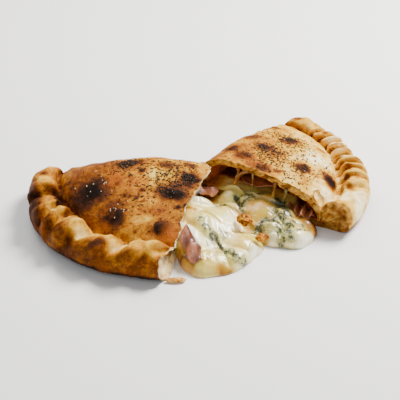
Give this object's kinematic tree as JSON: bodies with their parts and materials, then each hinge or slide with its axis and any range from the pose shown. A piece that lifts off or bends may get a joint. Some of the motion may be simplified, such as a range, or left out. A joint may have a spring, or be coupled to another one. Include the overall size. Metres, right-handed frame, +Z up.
{
  "type": "torn calzone",
  "caption": "Folded pizza torn in two at the middle: hollow pleated dough halves pulled apart, with molten cheese and ham spilling out between them.",
  "frame": {"origin": "on the table, under the middle of the calzone's bounding box", "axes": "+X to the right as the eater sees the opened calzone, +Y away from the eater, +Z up"},
  "size_m": [0.3138, 0.2439, 0.048],
  "materials": {
    "golden_crust": "baked golden brown, charred spots",
    "pale_crust": "floured, cream to light brown, charred spots",
    "cheese": "melted, oily gloss",
    "ham": "moist, pink",
    "dark_ham": "moist, browned",
    "toast": "toasted, rough",
    "shred": "soft crumb"
  },
  "bodies": {
    "root": {"crust_left": "golden_crust", "crust_right": "pale_crust", "melted_cheese": "cheese", "ham_front": "ham", "ham_corner": "ham", "ham_inside": "dark_ham", "ham_back": "dark_ham", "toasted_crumb_large": "toast", "toasted_crumb_small": "toast", "crust_shred": "shred"}
  },
  "joints": []
}
